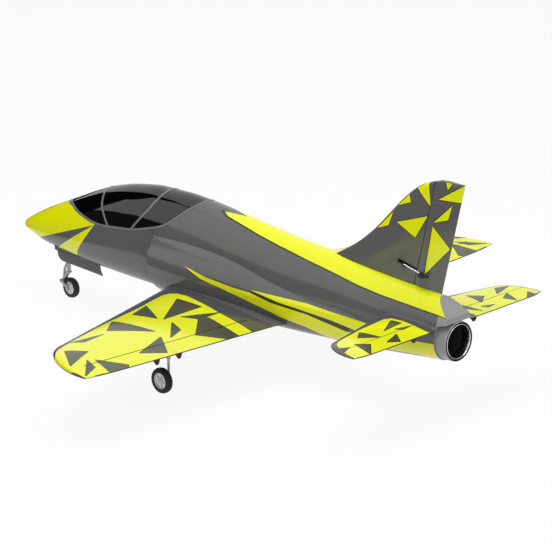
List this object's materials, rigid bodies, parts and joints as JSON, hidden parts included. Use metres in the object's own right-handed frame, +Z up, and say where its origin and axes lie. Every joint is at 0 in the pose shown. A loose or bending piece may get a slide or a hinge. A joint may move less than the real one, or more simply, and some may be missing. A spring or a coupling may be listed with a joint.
{
  "type": "radio-controlled jet plane",
  "caption": "Ducted-fan model jet with tinted canopy, swept low wing, hinged control surfaces with servo linkages, retractable sprung gear and a round exhaust nozzle.",
  "frame": {"origin": "centre of the bounding box on the ground plane under the wheels", "axes": "+X aft, +Y starboard, +Z up"},
  "size_m": [1.176, 1.0606, 0.427],
  "materials": {
    "grey_foam": "painted moulded foam, satin",
    "yellow_foam": "painted moulded foam, satin",
    "canopy_tint": "dark tinted, polished",
    "frame_grey": "painted, satin",
    "black_plastic": "moulded, fine grain",
    "carbon_tube": "pultruded fibre tube",
    "birch_ply": "laser-cut plywood",
    "cell_pack": "laminate pouch cells in shrink wrap",
    "servo_case": "moulded",
    "turned_alloy": "turned, satin",
    "nozzle_alloy": "spun, satin",
    "plated_steel": "plated",
    "screw_steel": "zinc plated",
    "tyre_rubber": "moulded rubber",
    "fan_plastic": "glass-filled, moulded"
  },
  "bodies": {
    "airframe": {"nose_shell": "grey_foam", "fuselage_shell": "grey_foam", "tail_shell": "grey_foam", "fan_hatch": "grey_foam", "hatch_screws": "screw_steel", "battery_tray": "birch_ply", "battery_pack": "cell_pack", "electronics": "black_plastic", "fan_former": "birch_ply", "fan_housing": "fan_plastic", "fan_motor": "turned_alloy", "thrust_tube": "black_plastic", "nozzle_ring": "nozzle_alloy", "wing_left": "yellow_foam", "wing_right": "yellow_foam", "wing_spars": "carbon_tube", "stab_left": "yellow_foam", "stab_right": "yellow_foam", "fin": "grey_foam", "tail_spars": "carbon_tube", "hinge_pins": "plated_steel", "servos": "servo_case", "retracts": "black_plastic"},
    "canopy": {"canopy_panes": "canopy_tint", "canopy_frame": "frame_grey"},
    "fan": {"fan_rotor": "fan_plastic"},
    "flap_left": {"flap_left": "yellow_foam"},
    "flap_arm_left": {"flap_arm_left": "black_plastic"},
    "flap_rod_left": {"flap_rod_left": "plated_steel"},
    "flap_right": {"flap_right": "yellow_foam"},
    "flap_arm_right": {"flap_arm_right": "black_plastic"},
    "flap_rod_right": {"flap_rod_right": "plated_steel"},
    "aileron_left": {"aileron_left": "yellow_foam"},
    "aileron_arm_left": {"aileron_arm_left": "black_plastic"},
    "aileron_rod_left": {"aileron_rod_left": "plated_steel"},
    "aileron_right": {"aileron_right": "yellow_foam"},
    "aileron_arm_right": {"aileron_arm_right": "black_plastic"},
    "aileron_rod_right": {"aileron_rod_right": "plated_steel"},
    "elevator_left": {"elevator_left": "yellow_foam"},
    "elevator_arm_left": {"elevator_arm_left": "black_plastic"},
    "elevator_rod_left": {"elevator_rod_left": "plated_steel"},
    "elevator_right": {"elevator_right": "yellow_foam"},
    "elevator_arm_right": {"elevator_arm_right": "black_plastic"},
    "elevator_rod_right": {"elevator_rod_right": "plated_steel"},
    "rudder": {"rudder": "grey_foam"},
    "rudder_arm": {"rudder_arm": "black_plastic"},
    "rudder_rod": {"rudder_rod": "plated_steel"},
    "main_strut_left": {"main_strut_left": "plated_steel"},
    "main_wheel_left": {"main_hub_left": "turned_alloy", "main_tyre_left": "tyre_rubber"},
    "main_strut_right": {"main_strut_right": "plated_steel"},
    "main_wheel_right": {"main_hub_right": "turned_alloy", "main_tyre_right": "tyre_rubber"},
    "nose_strut": {"nose_strut": "plated_steel"},
    "nose_fork": {"nose_fork": "plated_steel"},
    "nose_link": {"nose_link": "turned_alloy"},
    "nose_wheel": {"nose_hub": "turned_alloy", "nose_tyre": "tyre_rubber"},
    "nose_door_left": {"nose_door_left": "grey_foam"},
    "nose_door_right": {"nose_door_right": "grey_foam"}
  },
  "joints": [
    {"name": "canopy_lift", "type": "hinge", "parent": "airframe", "child": "canopy", "pos_m": [-0.436, 0, 0.2115], "axis": [0, -1, 0], "range_deg": [0, 35]},
    {"name": "fan_spin", "type": "hinge", "parent": "airframe", "child": "fan", "pos_m": [0.15, 0, 0.148], "axis": [1, 0, 0], "continuous": true},
    {"name": "flap_left_hinge", "type": "hinge", "parent": "airframe", "child": "flap_left", "pos_m": [0.176, -0.29981, 0.12279], "axis": [0, 0.9994, -0.036], "range_deg": [0, 45]},
    {"name": "flap_arm_left_turn", "type": "hinge", "parent": "airframe", "child": "flap_arm_left", "pos_m": [0.122, -0.29995, 0.1188], "axis": [0, 0.9994, -0.036], "range_deg": [0, 45]},
    {"name": "flap_rod_left_turn", "type": "hinge", "parent": "flap_arm_left", "child": "flap_rod_left", "pos_m": [0.134, -0.30045, 0.1048], "axis": [0, 0.9994, -0.036], "range_deg": [-45, 0]},
    {"name": "flap_right_hinge", "type": "hinge", "parent": "airframe", "child": "flap_right", "pos_m": [0.176, 0.29981, 0.12279], "axis": [0, 0.9994, 0.036], "range_deg": [0, 45]},
    {"name": "flap_arm_right_turn", "type": "hinge", "parent": "airframe", "child": "flap_arm_right", "pos_m": [0.122, 0.29995, 0.1188], "axis": [0, 0.9994, 0.036], "range_deg": [0, 45]},
    {"name": "flap_rod_right_turn", "type": "hinge", "parent": "flap_arm_right", "child": "flap_rod_right", "pos_m": [0.134, 0.30045, 0.1048], "axis": [0, 0.9994, 0.036], "range_deg": [-45, 0]},
    {"name": "aileron_left_hinge", "type": "hinge", "parent": "airframe", "child": "aileron_left", "pos_m": [0.176, -0.35177, 0.12466], "axis": [0, 0.9994, -0.036], "range_deg": [-25, 25]},
    {"name": "aileron_arm_left_turn", "type": "hinge", "parent": "airframe", "child": "aileron_arm_left", "pos_m": [0.122, -0.35192, 0.12067], "axis": [0, 0.9994, -0.036], "range_deg": [-25, 25]},
    {"name": "aileron_rod_left_turn", "type": "hinge", "parent": "aileron_arm_left", "child": "aileron_rod_left", "pos_m": [0.134, -0.35242, 0.10668], "axis": [0, 0.9994, -0.036], "range_deg": [-25, 25]},
    {"name": "aileron_right_hinge", "type": "hinge", "parent": "airframe", "child": "aileron_right", "pos_m": [0.176, 0.35177, 0.12466], "axis": [0, 0.9994, 0.036], "range_deg": [-25, 25]},
    {"name": "aileron_arm_right_turn", "type": "hinge", "parent": "airframe", "child": "aileron_arm_right", "pos_m": [0.122, 0.35192, 0.12067], "axis": [0, 0.9994, 0.036], "range_deg": [-25, 25]},
    {"name": "aileron_rod_right_turn", "type": "hinge", "parent": "aileron_arm_right", "child": "aileron_rod_right", "pos_m": [0.134, 0.35242, 0.10668], "axis": [0, 0.9994, 0.036], "range_deg": [-25, 25]},
    {"name": "elevator_left_hinge", "type": "hinge", "parent": "airframe", "child": "elevator_left", "pos_m": [0.527, -0.079, 0.176], "axis": [0, 1, 0], "range_deg": [-25, 25]},
    {"name": "elevator_arm_left_turn", "type": "hinge", "parent": "airframe", "child": "elevator_arm_left", "pos_m": [0.481, -0.079, 0.174], "axis": [0, 1, 0], "range_deg": [-25, 25]},
    {"name": "elevator_rod_left_turn", "type": "hinge", "parent": "elevator_arm_left", "child": "elevator_rod_left", "pos_m": [0.491, -0.079, 0.162], "axis": [0, 1, 0], "range_deg": [-25, 25]},
    {"name": "elevator_right_hinge", "type": "hinge", "parent": "airframe", "child": "elevator_right", "pos_m": [0.527, 0.079, 0.176], "axis": [0, 1, 0], "range_deg": [-25, 25]},
    {"name": "elevator_arm_right_turn", "type": "hinge", "parent": "airframe", "child": "elevator_arm_right", "pos_m": [0.481, 0.079, 0.174], "axis": [0, 1, 0], "range_deg": [-25, 25]},
    {"name": "elevator_rod_right_turn", "type": "hinge", "parent": "elevator_arm_right", "child": "elevator_rod_right", "pos_m": [0.491, 0.079, 0.162], "axis": [0, 1, 0], "range_deg": [-25, 25]},
    {"name": "rudder_hinge", "type": "hinge", "parent": "airframe", "child": "rudder", "pos_m": [0.48654, 0, 0.2561], "axis": [0.2357, 0, 0.9718], "range_deg": [-30, 30]},
    {"name": "rudder_arm_turn", "type": "hinge", "parent": "airframe", "child": "rudder_arm", "pos_m": [0.45156, 0, 0.26459], "axis": [0.2357, 0, 0.9718], "range_deg": [-30, 30]},
    {"name": "rudder_rod_turn", "type": "hinge", "parent": "rudder_arm", "child": "rudder_rod", "pos_m": [0.46128, -0.012, 0.26223], "axis": [0.2357, 0, 0.9718], "range_deg": [-30, 30]},
    {"name": "main_retract_left", "type": "hinge", "parent": "airframe", "child": "main_strut_left", "pos_m": [0.095, -0.2345, 0.12044], "axis": [1, 0, 0], "range_deg": [0, 90]},
    {"name": "main_roll_left", "type": "hinge", "parent": "main_strut_left", "child": "main_wheel_left", "pos_m": [0.095, -0.247, 0.024], "axis": [0, 1, 0], "continuous": true},
    {"name": "main_retract_right", "type": "hinge", "parent": "airframe", "child": "main_strut_right", "pos_m": [0.095, 0.2345, 0.12044], "axis": [-1, 0, 0], "range_deg": [0, 90]},
    {"name": "main_roll_right", "type": "hinge", "parent": "main_strut_right", "child": "main_wheel_right", "pos_m": [0.095, 0.247, 0.024], "axis": [0, 1, 0], "continuous": true},
    {"name": "nose_retract_fold", "type": "hinge", "parent": "airframe", "child": "nose_strut", "pos_m": [-0.458, 0, 0.128], "axis": [0, -1, 0], "range_deg": [0, 90]},
    {"name": "nose_steer", "type": "hinge", "parent": "nose_strut", "child": "nose_fork", "pos_m": [-0.458, 0, 0.082], "axis": [0, 0, 1], "range_deg": [-30, 30]},
    {"name": "nose_spring", "type": "hinge", "parent": "nose_fork", "child": "nose_link", "pos_m": [-0.475, 0, 0.034], "axis": [0, -1, 0], "range_deg": [0, 10], "stiffness_Nm_per_rad": 2, "springref_deg": -6.88},
    {"name": "nose_roll", "type": "hinge", "parent": "nose_link", "child": "nose_wheel", "pos_m": [-0.453, 0, 0.021], "axis": [0, 1, 0], "continuous": true},
    {"name": "nose_door_left_swing", "type": "hinge", "parent": "airframe", "child": "nose_door_left", "pos_m": [-0.388, -0.03, 0.106], "axis": [1, 0, 0], "range_deg": [0, 81]},
    {"name": "nose_door_right_swing", "type": "hinge", "parent": "airframe", "child": "nose_door_right", "pos_m": [-0.388, 0.03, 0.106], "axis": [-1, 0, 0], "range_deg": [0, 81]}
  ],
  "couplings": [
    {"joint": "flap_arm_left_turn", "follows": "flap_left_hinge", "ratio": 1},
    {"joint": "flap_rod_left_turn", "follows": "flap_left_hinge", "ratio": -1},
    {"joint": "flap_right_hinge", "follows": "flap_left_hinge", "ratio": 1},
    {"joint": "flap_arm_right_turn", "follows": "flap_left_hinge", "ratio": 1},
    {"joint": "flap_rod_right_turn", "follows": "flap_left_hinge", "ratio": -1},
    {"joint": "aileron_arm_left_turn", "follows": "aileron_left_hinge", "ratio": 1},
    {"joint": "aileron_rod_left_turn", "follows": "aileron_left_hinge", "ratio": -1},
    {"joint": "aileron_right_hinge", "follows": "aileron_left_hinge", "ratio": -1},
    {"joint": "aileron_arm_right_turn", "follows": "aileron_left_hinge", "ratio": -1},
    {"joint": "aileron_rod_right_turn", "follows": "aileron_left_hinge", "ratio": 1},
    {"joint": "elevator_arm_left_turn", "follows": "elevator_left_hinge", "ratio": 1},
    {"joint": "elevator_rod_left_turn", "follows": "elevator_left_hinge", "ratio": -1},
    {"joint": "elevator_right_hinge", "follows": "elevator_left_hinge", "ratio": 1},
    {"joint": "elevator_arm_right_turn", "follows": "elevator_left_hinge", "ratio": 1},
    {"joint": "elevator_rod_right_turn", "follows": "elevator_left_hinge", "ratio": -1},
    {"joint": "rudder_arm_turn", "follows": "rudder_hinge", "ratio": 1},
    {"joint": "rudder_rod_turn", "follows": "rudder_hinge", "ratio": -1},
    {"joint": "main_retract_right", "follows": "main_retract_left", "ratio": 1},
    {"joint": "nose_retract_fold", "follows": "main_retract_left", "ratio": 1},
    {"joint": "nose_door_left_swing", "follows": "main_retract_left", "ratio": 0.9},
    {"joint": "nose_door_right_swing", "follows": "main_retract_left", "ratio": 0.9}
  ]
}
